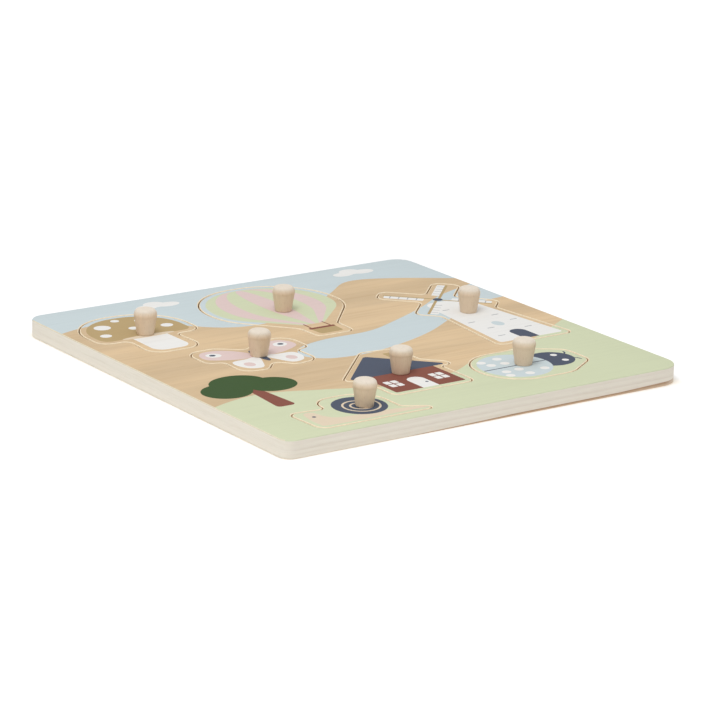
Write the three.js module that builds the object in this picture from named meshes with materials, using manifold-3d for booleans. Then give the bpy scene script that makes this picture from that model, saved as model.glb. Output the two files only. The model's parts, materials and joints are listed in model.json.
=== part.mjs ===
// A knob puzzle for small children: a square plywood tray with seven picture pieces to lift out.
// The tray is a cut-out face panel glued to a backing board. Each piece carries a turned peg, held by a
// countersunk screw from below. Units are millimetres, +Z is up, and the origin lies under the tray's middle.
import * as THREE from "three";
import { mergeVertices, toCreasedNormals } from "three/addons/utils/BufferGeometryUtils.js";
import Module from "manifold-3d";

const wasm = await Module();
wasm.setup();

// Tray
const BOARD_SIDE = 300;
const LOWER_LEFT_RADIUS = 8; // the corners are rounded by hand, and differ
const LOWER_RIGHT_RADIUS = 15;
const UPPER_RIGHT_RADIUS = 12;
const UPPER_LEFT_RADIUS = 11;
const BACKING_THICKNESS = 5.5;
const PANEL_THICKNESS = 6;
const EDGE_EASE = 0.6; // sanded off every edge that a hand meets
const SAW_GAP = 0.8; // kerf between a piece and its recess

// Turned peg
const PEG_HEIGHT = 17;
const PEG_BASE_DIAMETER = 11;
const PEG_NECK_DIAMETER = 14.2; // top of the straight shank, where the head swells out
const PEG_NECK_HEIGHT = 11;
const PEG_TOP_DIAMETER = 14.8;
const PEG_DOME_HEIGHT = 4.3;
const PEG_DOME_POWER = 0.36; // the smaller it is, the flatter the crown
const PEG_CROWN_WALL = 7; // solid wood above the screw's tip

// Countersunk screw that holds the peg
const SCREW_HEAD_DIAMETER = 6;
const SCREW_HEAD_RIM = 0.4;
const SCREW_SHANK_DIAMETER = 3;
const SCREW_TIP_LENGTH = 2.2;
const SCREW_SINK = 0.4; // head below the piece's underside
const SCREW_CLEARANCE = 0.15;
const DRIVE_SLOT_WIDTH = 0.9;
const DRIVE_SLOT_LENGTH = 3.2;
const DRIVE_DEPTH = 1.1;

// Fineness of the facets
const CHORD_ERROR = 0.12; // greatest distance between an arc and its facets
const PEG_SIDES = 20;
const SCREW_SIDES = 12;
const SWELL_STEPS = 3;
const DOME_STEPS = 7;
const CREASE_ANGLE = Math.PI / 5;
const WELD_DISTANCE = 1e-4; // vertices nearer than this are one

// The picture is drawn in hundredths of the board's side, so that it grows with the board.
const HUNDREDTH = BOARD_SIDE / 100;

const PALETTE = {
  birch: 0xe0d3bd,
  peg: 0xdcc7a5,
  steel: 0xb9b7b0,
  khaki: 0xb89f72,
  meadow: 0xd3dbb8,
  pink: 0xdfc9c4,
  rust: 0x93604f,
  navy: 0x565b70,
  white: 0xe9e7e6,
  sky: 0xcedce2,
};

// Corners of an outline that is alike on both sides of x = 0, from those on its right side, lowest first.
function mirrored(rightCorners) {
  const leftCorners = rightCorners.filter(([x]) => x > 0).map(([x, y, radius]) => [-x, y, radius]);
  return [...rightCorners, ...leftCorners.reverse()];
}

// A windmill's outline: a tapered tower, and four sails set crosswise on a hub above the peg.
function windmillCorners() {
  const hubHeight = 11.3;
  const reach = 13.3;
  const halfWidth = 3;
  const tipRadius = 2;
  const notchRadius = 1.7;
  const along = (reach - halfWidth) * Math.SQRT1_2;
  const across = (reach + halfWidth) * Math.SQRT1_2;
  const notch = halfWidth * Math.SQRT2;
  const towerFoot = [10, -24, 1.7];
  const towerShoulder = [7.3, 0, notchRadius];
  return mirrored([
    towerFoot,
    towerShoulder,
    [across, hubHeight - along, tipRadius],
    [notch, hubHeight, notchRadius],
    [across, hubHeight + along, tipRadius],
    [along, hubHeight + across, tipRadius],
    [0, hubHeight + notch, notchRadius],
  ]);
}

// Each piece: where its peg stands on the tray, and its outline about the peg, anticlockwise, as corners
// [x, y, fillet radius]. All are in hundredths of the board's side.
const PIECES = [
  {
    name: "mushroom",
    colour: PALETTE.khaki,
    at: [-34.6, 26.1],
    outline: mirrored([
      [6.3, -13.3, 3.6],
      [5.7, -2.7, 1.7],
      [12.3, -2.7, 3],
      [12.3, 14.7, 11.3],
    ]),
  },
  {
    name: "balloon",
    colour: PALETTE.meadow,
    at: [0.84, 26.4],
    outline: mirrored([
      [4.5, -20.3, 1.6],
      [4.8, -13.5, 2.5],
      [16, -1, 12],
      [16, 19.7, 15],
    ]),
  },
  {
    name: "butterfly",
    colour: PALETTE.pink,
    at: [-22.55, 0.7],
    outline: mirrored([
      [0, -5.2, 1.7],
      [3.5, -9, 2],
      [9.3, -8.3, 3],
      [9, -0.6, 1.4],
      [12.6, 0.4, 2],
      [12.6, 8.6, 3.3],
      [5.6, 8.6, 2.7],
      [0, 4.4, 2],
    ]),
  },
  {
    name: "cottage",
    colour: PALETTE.rust,
    at: [-4.4, -24.4],
    outline: [
      [-10, -12, 1.7],
      [10, -12, 1.7],
      [10, 0, 1.3],
      [14.7, 0, 1.3],
      [9, 6, 1.3],
      [9, 14.7, 1.3],
      [1, 15.7, 2],
      [-14.7, 0, 1.3],
      [-10, 0, 1.3],
    ],
  },
  {
    name: "snail",
    colour: PALETTE.navy,
    at: [-23.7, -38.8],
    outline: [
      [-15.7, -8, 2.3],
      [13.7, -8, 0.9],
      [6, -4, 1.4],
      [6, 7.7, 6.3],
      [-7.7, 7.7, 4],
      [-7.7, 2, 1.4],
      [-16.3, 3, 1.7],
    ],
  },
  {
    name: "windmill",
    colour: PALETTE.white,
    at: [35.5, 5.25],
    outline: windmillCorners(),
  },
  {
    name: "beetle",
    colour: PALETTE.sky,
    at: [21.27, -32.4],
    outline: [
      [-11.3, -9.3, 9],
      [6, -9.3, 6.7],
      [14.3, -4, 3],
      [14.3, 4, 3],
      [6, 9.3, 6.7],
      [-11.3, 9.3, 9],
    ],
  },
];

// Closed three.js geometry as a solid that can be cut and joined.
function solidOf(geometry) {
  const bare = geometry.clone();
  bare.deleteAttribute("normal");
  bare.deleteAttribute("uv");
  const merged = mergeVertices(bare, WELD_DISTANCE);
  const mesh = new wasm.Mesh({
    numProp: 3,
    vertProperties: new Float32Array(merged.attributes.position.array),
    triVerts: new Uint32Array(merged.index.array),
  });
  return new wasm.Manifold(mesh);
}

// A solid as three.js geometry, smooth along its curves and sharp at its edges.
function geometryOf(solid) {
  const mesh = solid.getMesh();
  const geometry = new THREE.BufferGeometry();
  geometry.setAttribute("position", new THREE.BufferAttribute(mesh.vertProperties, 3));
  geometry.setIndex(new THREE.BufferAttribute(mesh.triVerts, 1));
  return toCreasedNormals(geometry, CREASE_ANGLE);
}

// Points of a closed outline whose corners [x, y, radius] are filleted by arcs.
function filletedLoop(corners) {
  const points = [];
  corners.forEach(([x, y, radius], index) => {
    const corner = new THREE.Vector2(x, y);
    const before = corners.at(index - 1);
    const after = corners[(index + 1) % corners.length];
    const toBefore = new THREE.Vector2(before[0], before[1]).sub(corner).normalize();
    const toAfter = new THREE.Vector2(after[0], after[1]).sub(corner).normalize();
    const halfAngle = Math.acos(toBefore.dot(toAfter)) / 2;
    const bisector = toBefore.clone().add(toAfter).normalize();
    const centre = corner.clone().addScaledVector(bisector, radius / Math.sin(halfAngle));
    const start = corner.clone().addScaledVector(toBefore, radius / Math.tan(halfAngle));
    const turn = Math.sign(toAfter.cross(toBefore)) * (Math.PI - 2 * halfAngle);
    const finestStep = 2 * Math.acos(1 - Math.min(CHORD_ERROR / radius, 1));
    const steps = Math.max(2, Math.ceil(Math.abs(turn) / finestStep));
    for (let step = 0; step <= steps; step += 1) {
      points.push(start.clone().rotateAround(centre, (turn * step) / steps));
    }
  });
  return points;
}

// A loop moved outwards by a distance, each point along the bisector of its two edges.
function offsetLoop(points, distance) {
  return points.map((point, index) => {
    const before = points.at(index - 1);
    const after = points[(index + 1) % points.length];
    const edgeIn = point.clone().sub(before).normalize();
    const edgeOut = after.clone().sub(point).normalize();
    const normal = new THREE.Vector2(edgeIn.y + edgeOut.y, -edgeIn.x - edgeOut.x).normalize();
    const miter = normal.x * edgeOut.y - normal.y * edgeOut.x;
    return point.clone().addScaledVector(normal, distance / miter);
  });
}

// A plate between an outer loop and the loops of its holes. Its stations [height, inset] run upwards, and
// at each of them every loop is drawn back into the wood by the inset.
function plate(outer, holes, stations) {
  const geometry = new THREE.BufferGeometry();
  const positions = [];
  const indices = [];
  const ringSize = [outer, ...holes].reduce((count, loop) => count + loop.length, 0);
  stations.forEach(([height, inset], station) => {
    const rim = offsetLoop(outer, -inset);
    const holeRims = holes.map((hole) => offsetLoop(hole, inset));
    for (const point of [rim, ...holeRims].flat()) {
      positions.push(point.x, point.y, height);
    }
    const isBottom = station === 0;
    if (isBottom || station === stations.length - 1) {
      for (const [a, b, c] of THREE.ShapeUtils.triangulateShape(rim, holeRims)) {
        const face = isBottom ? [a, c, b] : [a, b, c];
        indices.push(...face.map((vertex) => vertex + station * ringSize));
      }
    }
  });
  for (let station = 1; station < stations.length; station += 1) {
    let first = station * ringSize;
    [outer, ...holes].forEach((loop, order) => {
      for (let index = 0; index < loop.length; index += 1) {
        const next = (index + 1) % loop.length;
        const [from, to] = order === 0 ? [first + index, first + next] : [first + next, first + index];
        indices.push(from - ringSize, to - ringSize, to, from - ringSize, to, from);
      }
      first += loop.length;
    });
  }
  geometry.setAttribute("position", new THREE.Float32BufferAttribute(positions, 3));
  geometry.setIndex(indices);
  return solidOf(geometry);
}

// A profile of [radius, height] points turned about the Z axis.
function turned(profile, sides) {
  const points = profile.map(([radius, height]) => new THREE.Vector2(radius, height));
  return new THREE.LatheGeometry(points, sides).rotateX(Math.PI / 2);
}

function boardLoop() {
  const half = BOARD_SIDE / 2;
  return filletedLoop([
    [-half, -half, LOWER_LEFT_RADIUS],
    [half, -half, LOWER_RIGHT_RADIUS],
    [half, half, UPPER_RIGHT_RADIUS],
    [-half, half, UPPER_LEFT_RADIUS],
  ]);
}

// A piece's outline about its peg, in millimetres.
function pieceLoop(piece) {
  return filletedLoop(piece.outline.map((corner) => corner.map((length) => length * HUNDREDTH)));
}

function backingBoard() {
  return plate(boardLoop(), [], [
    [0, EDGE_EASE],
    [EDGE_EASE, 0],
    [BACKING_THICKNESS, 0],
  ]);
}

// The face panel has a recess for each piece, one saw kerf wider than the piece all round.
function facePanel() {
  const recesses = PIECES.map((piece) => {
    const place = new THREE.Vector2(...piece.at).multiplyScalar(HUNDREDTH);
    return offsetLoop(pieceLoop(piece), SAW_GAP).map((point) => point.add(place));
  });
  return plate(boardLoop(), recesses, [
    [0, 0],
    [PANEL_THICKNESS - EDGE_EASE, 0],
    [PANEL_THICKNESS, EDGE_EASE],
  ]);
}

const headRadius = SCREW_HEAD_DIAMETER / 2;
const shankRadius = SCREW_SHANK_DIAMETER / 2;
const headConeTop = SCREW_HEAD_RIM + headRadius - shankRadius; // the cone's sides slope at 45 degrees
const screwGrip = PEG_HEIGHT - PEG_CROWN_WALL; // length of screw inside the peg
const screwLength = PANEL_THICKNESS - SCREW_SINK + screwGrip;

// The plate of one piece, with a countersunk hole for its screw under the peg.
function piecePlate(piece) {
  const blank = plate(pieceLoop(piece), [], [
    [0, EDGE_EASE],
    [EDGE_EASE, 0],
    [PANEL_THICKNESS - EDGE_EASE, 0],
    [PANEL_THICKNESS, EDGE_EASE],
  ]);
  const mouthRadius = headRadius + SCREW_CLEARANCE;
  const boreRadius = shankRadius + SCREW_CLEARANCE;
  const coneFoot = SCREW_SINK + SCREW_HEAD_RIM;
  const hole = turned(
    [
      [0, -PANEL_THICKNESS],
      [mouthRadius, -PANEL_THICKNESS],
      [mouthRadius, coneFoot],
      [boreRadius, coneFoot + mouthRadius - boreRadius],
      [boreRadius, 2 * PANEL_THICKNESS],
      [0, 2 * PANEL_THICKNESS],
    ],
    SCREW_SIDES,
  );
  return blank.subtract(solidOf(hole));
}

// A peg has a shank that widens upwards, and a head that swells out over it and ends in a flat dome.
// The screw's pilot hole runs up inside.
function peg() {
  const pilotRadius = shankRadius + SCREW_CLEARANCE;
  const pilotDepth = screwGrip + SCREW_CLEARANCE;
  const footRadius = PEG_BASE_DIAMETER / 2;
  const neckRadius = PEG_NECK_DIAMETER / 2;
  const shoulderRadius = PEG_TOP_DIAMETER / 2;
  const shoulderHeight = PEG_HEIGHT - PEG_DOME_HEIGHT;
  const profile = [
    [0, pilotDepth],
    [pilotRadius, pilotDepth],
    [pilotRadius, 0],
    [footRadius - EDGE_EASE, 0],
    [footRadius, EDGE_EASE],
  ];
  for (let step = 0; step < SWELL_STEPS; step += 1) {
    const share = step / SWELL_STEPS;
    const swell = (1 - Math.cos(Math.PI * share)) / 2;
    profile.push([
      neckRadius + (shoulderRadius - neckRadius) * swell,
      PEG_NECK_HEIGHT + (shoulderHeight - PEG_NECK_HEIGHT) * share,
    ]);
  }
  for (let step = 0; step < DOME_STEPS; step += 1) {
    const angle = (Math.PI / 2) * (step / DOME_STEPS);
    const radius = shoulderRadius * Math.cos(angle) ** PEG_DOME_POWER;
    profile.push([radius, shoulderHeight + PEG_DOME_HEIGHT * Math.sin(angle)]);
  }
  profile.push([0, PEG_HEIGHT]);
  return solidOf(turned(profile, PEG_SIDES));
}

// A countersunk wood screw, head down, with a cross recess for the driver.
function screw() {
  const body = turned(
    [
      [0, 0],
      [headRadius, 0],
      [headRadius, SCREW_HEAD_RIM],
      [shankRadius, headConeTop],
      [shankRadius, screwLength - SCREW_TIP_LENGTH],
      [0, screwLength],
    ],
    SCREW_SIDES,
  );
  const slot = new THREE.BoxGeometry(DRIVE_SLOT_LENGTH, DRIVE_SLOT_WIDTH, 2 * DRIVE_DEPTH);
  const crossSlot = new THREE.BoxGeometry(DRIVE_SLOT_WIDTH, DRIVE_SLOT_LENGTH, 2 * DRIVE_DEPTH);
  return solidOf(body).subtract(solidOf(slot)).subtract(solidOf(crossSlot));
}

function wood(colour) {
  return new THREE.MeshStandardMaterial({ color: colour, roughness: 0.65, metalness: 0 });
}

function steel() {
  return new THREE.MeshStandardMaterial({ color: PALETTE.steel, roughness: 0.35, metalness: 1 });
}

function named(name, solid, material) {
  const mesh = new THREE.Mesh(geometryOf(solid), material);
  mesh.name = name;
  return mesh;
}

// One liftable piece: its plate, with the peg on top and the screw from below.
function pieceGroup(piece) {
  const base = named(`${piece.name}_piece`, piecePlate(piece), wood(piece.colour));
  const knob = named(`${piece.name}_knob`, peg(), wood(PALETTE.peg));
  knob.position.z = PANEL_THICKNESS;
  const fastener = named(`${piece.name}_screw`, screw(), steel());
  fastener.position.z = SCREW_SINK;
  return new THREE.Group().add(base, knob, fastener);
}

const puzzle = new THREE.Group();
puzzle.add(named("backing_board", backingBoard(), wood(PALETTE.birch)));
const panel = named("face_panel", facePanel(), wood(PALETTE.birch));
panel.position.z = BACKING_THICKNESS;
puzzle.add(panel);
for (const piece of PIECES) {
  const group = pieceGroup(piece);
  group.position.set(piece.at[0] * HUNDREDTH, piece.at[1] * HUNDREDTH, BACKING_THICKNESS);
  puzzle.add(group);
}

export default puzzle;
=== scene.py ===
"""Dresses a wooden knob puzzle: printed plywood tray, picture pieces, turned pegs and their screws.

Lengths are in metres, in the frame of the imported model.
The picture is drawn in hundredths of the board's side.
"""
import json
from collections import namedtuple
from math import acos, copysign, cos, pi, radians, sin, tan, tau

import bpy
from bpy.props import FloatProperty, FloatVectorProperty, IntProperty, PointerProperty
from mathutils import Matrix, Vector
from mathutils.geometry import delaunay_2d_cdt

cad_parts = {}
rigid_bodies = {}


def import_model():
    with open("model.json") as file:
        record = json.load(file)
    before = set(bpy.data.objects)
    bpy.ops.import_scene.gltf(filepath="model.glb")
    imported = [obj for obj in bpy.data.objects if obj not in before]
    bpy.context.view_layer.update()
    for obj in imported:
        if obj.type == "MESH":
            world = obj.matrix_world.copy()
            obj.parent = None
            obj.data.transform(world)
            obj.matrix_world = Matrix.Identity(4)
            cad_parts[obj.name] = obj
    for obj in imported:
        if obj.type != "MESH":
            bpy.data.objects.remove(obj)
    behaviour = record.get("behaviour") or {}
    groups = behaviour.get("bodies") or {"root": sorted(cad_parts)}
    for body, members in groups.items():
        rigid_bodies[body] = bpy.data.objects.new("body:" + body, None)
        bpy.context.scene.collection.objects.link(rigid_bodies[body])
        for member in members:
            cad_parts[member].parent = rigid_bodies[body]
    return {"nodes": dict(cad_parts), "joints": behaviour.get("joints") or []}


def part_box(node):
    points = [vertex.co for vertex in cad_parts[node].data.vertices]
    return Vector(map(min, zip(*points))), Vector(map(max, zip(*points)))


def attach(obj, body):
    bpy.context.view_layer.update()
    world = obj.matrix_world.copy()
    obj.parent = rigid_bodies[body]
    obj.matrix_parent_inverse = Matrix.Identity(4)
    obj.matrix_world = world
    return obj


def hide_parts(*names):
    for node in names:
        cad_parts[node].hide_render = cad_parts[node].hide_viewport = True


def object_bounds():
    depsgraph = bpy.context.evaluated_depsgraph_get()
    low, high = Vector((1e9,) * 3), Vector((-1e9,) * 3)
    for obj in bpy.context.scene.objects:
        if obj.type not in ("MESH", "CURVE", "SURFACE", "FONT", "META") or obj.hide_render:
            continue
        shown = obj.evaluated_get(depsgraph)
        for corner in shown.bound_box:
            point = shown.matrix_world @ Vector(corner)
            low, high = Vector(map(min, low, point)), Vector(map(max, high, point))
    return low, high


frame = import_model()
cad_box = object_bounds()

bl_info = {
    "name": "Knob Puzzle",
    "version": (1, 0, 0),
    "blender": (4, 5, 0),
    "location": "View3D > Sidebar > Knob Puzzle",
    "description": "Dresses a plywood knob puzzle with printed faces, sanded edges and turned pegs",
    "category": "Object",
}

# What the frame gives: the pieces that lift, the board's side and the height of the tray's face
PIECES = [joint["child"] for joint in frame["joints"]]
TRAY_BODY = frame["joints"][0]["parent"]
BOARD_LOW, BOARD_HIGH = (Vector(corner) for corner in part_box("face_panel"))
HUNDREDTH = (BOARD_HIGH.x - BOARD_LOW.x) / 100
TRAY_TOP = BOARD_HIGH.z

# Finenesses of the meshes
WELD = 1e-6
SHORTEST_EDGE = 2e-5
ARC_STEP = radians(6)
SPLINE_STEPS = 8
ELLIPSE_POINTS = 48
STROKE_END_STEPS = 6
CREASE = radians(40)

# Digits kept of a CAD point's place on the plate and of its height
PLACE_DIGITS, HEIGHT_DIGITS = 6, 5

# What the triangulation is asked for: the triangles inside its outlines
INSIDE = 1

Region = namedtuple("Region", "ink outline")


def linear(red, green, blue):
    """A colour as seen on a screen, 0 to 255, as the linear values that shaders take."""
    shares = (channel / 255 for channel in (red, green, blue))
    return tuple(s / 12.92 if s <= 0.04045 else ((s + 0.055) / 1.055) ** 2.4 for s in shares)


def colour_property(name, description, red, green, blue):
    return FloatVectorProperty(
        name=name, description=description, subtype="COLOR", size=3, min=0, max=1,
        default=linear(red, green, blue),
    )


def length_property(name, description, metres):
    return FloatProperty(
        name=name, description=description, unit="LENGTH", subtype="DISTANCE", min=0,
        default=metres, precision=5,
    )


def number_property(name, description, value):
    return FloatProperty(name=name, description=description, default=value)


def angle_property(name, description, degrees):
    return FloatProperty(
        name=name, description=description, unit="ROTATION", subtype="ANGLE", default=radians(degrees),
    )


class KnobPuzzleInks(bpy.types.PropertyGroup):
    """Colours of the inks that print the picture."""

    sky: colour_property("Sky", "Pale blue of the sky, the river and the beetle", 204, 216, 219)
    meadow: colour_property("Meadow", "Pale green of the meadow and the balloon", 211, 217, 184)
    leaf: colour_property("Leaf", "Dark green of the tree's crown", 66, 89, 54)
    rust: colour_property("Rust", "Red brown of the cottage and the trunk", 138, 86, 74)
    khaki: colour_property("Khaki", "Yellow brown of the mushroom and the basket", 187, 163, 120)
    pink: colour_property("Pink", "Pale pink of the butterfly and the balloon's gores", 225, 203, 199)
    navy: colour_property("Navy", "Grey blue of the shell, the roof and the beetle's head", 84, 91, 107)
    white: colour_property("White", "White of the windmill, the clouds and the spots", 238, 237, 234)
    cream: colour_property("Cream", "Cream of the snail's body", 226, 210, 186)
    grey: colour_property("Grey", "Grey of the sails' laths and the tower's stones", 176, 178, 180)


class KnobPuzzleTimber(bpy.types.PropertyGroup):
    """Colours of the bare wood and of the screws, with a painted shadow on the tray's front edge and painted
    shade on the pegs' sides.
    """

    veneer: colour_property("Face veneer", "Bare face between the printed parts", 214, 187, 149)
    under: colour_property("Underside veneer", "Bare veneer below the tray and the pieces", 214, 176, 130)
    ply_light: colour_property("Light ply", "Plies cut along their grain", 235, 228, 214)
    ply_dark: colour_property("Dark ply", "Plies cut across their grain", 231, 223, 209)
    # Colours of a painted shadow: a brown band along the front edge's foot, dark above and pale at the floor
    painted_shadow_top: colour_property("Veil top", "Upper part of the veil on the front edge's foot", 191, 157, 131)
    painted_shadow_foot: colour_property("Veil foot", "Lower part of the veil on the front edge's foot", 247, 230, 212)
    glue: colour_property("Glue line", "Line of glue between two plies", 225, 215, 200)
    rim: colour_property("Eased rim", "Sanded rims of the pieces and the recesses", 252, 236, 207)
    tray_rim: colour_property("Tray rim", "Bare rounding along the tray's left edge", 234, 225, 201)
    sawn: colour_property("Sawn wall", "Walls of the saw kerf", 215, 184, 143)
    peg: colour_property("Peg", "Turned wood of the pegs, end grain at their tops", 233, 221, 205)
    # Partly the side grain's own tone, partly painted shade and warm bounce light on the pegs' sides
    side_grain_and_shade: colour_property("Side grain", "Tint of the pegs round their sides", 253, 241, 226)
    zinc: colour_property("Zinc", "Plating of the screws", 190, 190, 186)


class KnobPuzzleSizes(bpy.types.PropertyGroup):
    """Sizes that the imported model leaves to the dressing, or holds inside its solids."""

    seam_round: length_property("Seam round", "Round of the two edges at the glue seam", 0.00006)
    peg_foot: length_property("Peg foot", "Diameter of a peg where it stands on its piece", 0.011)
    peg_neck: length_property("Peg neck", "Diameter of a peg where its head swells out", 0.0142)
    neck_height: length_property("Neck height", "Height of a peg's straight shank", 0.011)
    peg_dome: length_property("Peg dome", "Height of the rounded top of a peg", 0.0043)
    dome_power: number_property("Dome power", "The smaller, the flatter the crown", 0.36)
    crown_wall: length_property("Crown wall", "Wood left in a peg above its screw", 0.00685)
    shank: length_property("Screw shank", "Diameter of a screw's shank", 0.003)
    head_rim: length_property("Head rim", "Straight rim of a screw's head", 0.0004)
    tip: length_property("Screw tip", "Length of a screw's point", 0.0022)
    clearance: length_property("Clearance", "Room round a screw in its hole", 0.00015)
    drive_width: length_property("Drive width", "Width of the cross recess", 0.0009)
    drive_length: length_property("Drive length", "Length of the cross recess", 0.0032)
    drive_depth: length_property("Drive depth", "Depth of the cross recess", 0.0011)
    round_steps: IntProperty(name="Round steps", description="Steps round a sanded edge", default=4, min=1)
    peg_sides: IntProperty(name="Peg sides", description="Sides of a turned peg", default=72, min=12)
    screw_sides: IntProperty(name="Screw sides", description="Sides of a screw", default=32, min=12)


class KnobPuzzleStage(bpy.types.PropertyGroup):
    """Camera and light."""

    lens: FloatProperty(name="Lens", description="Focal length", subtype="DISTANCE_CAMERA", default=159.15)
    distance: length_property("Distance", "From the camera to the middle of the tray's foot", 2.0244)
    azimuth: angle_property("Azimuth", "Way round the tray, from its lower edge", -35.717)
    elevation: angle_property("Elevation", "Height above the table", 16.714)
    roll: angle_property("Roll", "Turn about the line of sight", 1.506)
    aim: FloatVectorProperty(
        name="Aim", description="Shift of the camera to its right and up", subtype="XYZ_LENGTH",
        unit="LENGTH", size=2, default=(0.00684, -0.0013), precision=5,
    )
    key_power: FloatProperty(
        name="Key", description="Power of the soft box overhead", unit="POWER", default=10.4,
    )
    key_from: FloatVectorProperty(
        name="Key from", description="Place of the soft box, seen from the tray", subtype="TRANSLATION",
        unit="LENGTH", default=(-0.66, -0.45, 1.5),
    )
    key_size: length_property("Key size", "Side of the soft box", 0.7)
    overhead: number_property("Overhead", "Strength of the surroundings overhead", 0.97)
    horizon: number_property("Horizon", "Strength of the surroundings at eye level", 0.08)
    floor_glow: number_property("Floor glow", "Glow of the floor", 0.2)
    # Painted bounce light: the floor glows warm below the tray and just past its edge
    floor_bounce_tint: colour_property("Floor warmth", "Tint of the floor's glow below the tray", 255, 230, 184)
    floor_drop: length_property("Floor drop", "Gap between floor and tray", 0.0001)


# Flat outlines


def signed_area(outline):
    """Area inside a closed outline, positive where it runs anticlockwise."""
    ends = zip(outline, [*outline[1:], outline[0]])
    return sum(a[0] * b[1] - b[0] * a[1] for a, b in ends) / 2


def anticlockwise(outline):
    return outline if signed_area(outline) > 0 else outline[::-1]


def offset(outline, distance):
    """A closed outline with each point moved to the right of its way, along the bisector of its two edges."""
    spots = [Vector(point) for point in outline]
    count = len(spots)

    def way(index, step):
        """Direction to the nearest point that is far enough off to give one."""
        ahead = (spots[(index + step * further) % count] - spots[index] for further in range(1, count))
        return next(reach.normalized() for reach in ahead if reach.length > SHORTEST_EDGE)

    moved = []
    for index, spot in enumerate(spots):
        onward = way(index, 1)
        heading = (onward - way(index, -1)).normalized()
        right = Vector((heading.y, -heading.x))
        moved.append(tuple(spot + right * (distance / heading.dot(onward))))
    return moved


def wall_loops(node):
    """Loops of a CAD plate where its upright walls meet the eased rim: anticlockwise, largest first."""
    mesh = frame["nodes"][node].data
    spots = [
        (*(round(place, PLACE_DIGITS) for place in vertex.co.xy), round(vertex.co.z, HEIGHT_DIGITS))
        for vertex in mesh.vertices
    ]
    level = sorted({spot[2] for spot in spots})[-2]
    neighbours = {}
    for edge in mesh.edges:
        a, b = (spots[vertex] for vertex in edge.vertices)
        if a[2] == b[2] == level and a != b:
            neighbours.setdefault(a[:2], set()).add(b[:2])
            neighbours.setdefault(b[:2], set()).add(a[:2])
    loops = []
    while neighbours:
        loop = [next(iter(neighbours))]
        while True:
            onward = [spot for spot in neighbours.pop(loop[-1]) if spot in neighbours]
            if not onward:
                break
            loop.append(onward[0])
        loops.append(anticlockwise(loop))
    return sorted(loops, key=signed_area, reverse=True)


def circle(centre, radius, sides):
    angles = (tau * side / sides for side in range(sides))
    return [(centre[0] + radius * cos(angle), centre[1] + radius * sin(angle)) for angle in angles]


# Shapes of the picture, in hundredths of the board's side


def ellipse(x, y, half_width, half_height=None, turn=0):
    """An ellipse, turned anticlockwise by an angle in degrees."""
    half_height = half_width if half_height is None else half_height
    lean_x, lean_y = cos(radians(turn)), sin(radians(turn))
    outline = []
    for across, up in circle((0, 0), 1, ELLIPSE_POINTS):
        across, up = across * half_width, up * half_height
        outline.append((x + across * lean_x - up * lean_y, y + across * lean_y + up * lean_x))
    return outline


def filleted(corners):
    """A closed outline with corners (x, y, radius), each rounded by an arc."""
    outline = []
    for before, corner, after in zip([corners[-1], *corners[:-1]], corners, [*corners[1:], corners[0]]):
        spot, radius = Vector(corner[:2]), corner[2]
        back = (Vector(before[:2]) - spot).normalized()
        onward = (Vector(after[:2]) - spot).normalized()
        half = acos(max(-1, min(1, back.dot(onward)))) / 2
        centre = spot + (back + onward).normalized() * (radius / sin(half))
        arm = spot + back * (radius / tan(half)) - centre
        turn = copysign(pi - 2 * half, onward.cross(back))
        steps = max(1, round(abs(turn) / ARC_STEP))
        for step in range(steps + 1):
            outline.append(tuple(centre + Matrix.Rotation(turn * step / steps, 2) @ arm))
    return outline


def through(points, closed=True):
    """A smooth curve through points."""
    count = len(points)
    spots = [Vector(point) for point in points]
    curve = []
    for index in range(count if closed else count - 1):
        near = [index - 1, index, index + 1, index + 2]
        near = [i % count if closed else max(0, min(count - 1, i)) for i in near]
        a, b, c, d = (spots[i] for i in near)
        for step in range(SPLINE_STEPS):
            t = step / SPLINE_STEPS
            curve.append(tuple((
                2 * b + (c - a) * t + (2 * a - 5 * b + 4 * c - d) * t * t + (3 * b - a - 3 * c + d) * t ** 3
            ) / 2))
    return curve if closed else [*curve, tuple(spots[-1])]


def stroke(path, width):
    """A line of even width along a path, with round ends."""
    spots = [Vector(point) for point in path]
    left, right = [], []
    for index, spot in enumerate(spots):
        way = (spots[min(index + 1, len(spots) - 1)] - spots[max(index - 1, 0)]).normalized()
        side = Vector((-way.y, way.x)) * width / 2
        left.append(tuple(spot + side))
        right.append(tuple(spot - side))

    def end(spot, first):
        arm = Vector(first) - spot
        turns = (-pi * step / STROKE_END_STEPS for step in range(1, STROKE_END_STEPS))
        return [tuple(spot + Matrix.Rotation(turn, 2) @ arm) for turn in turns]

    return [*left, *end(spots[-1], left[-1]), *right[::-1], *end(spots[0], right[0])]


def oval(ink, *sizes):
    return Region(ink, ellipse(*sizes))


def patch(ink, *corners):
    return Region(ink, filleted(corners))


def line(ink, width, *path):
    return Region(ink, stroke(path, width))


def both_sides(regions):
    """Regions and their mirror images across x = 0."""
    return [*regions, *(Region(ink, [(-x, y) for x, y in outline]) for ink, outline in regions)]


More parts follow.
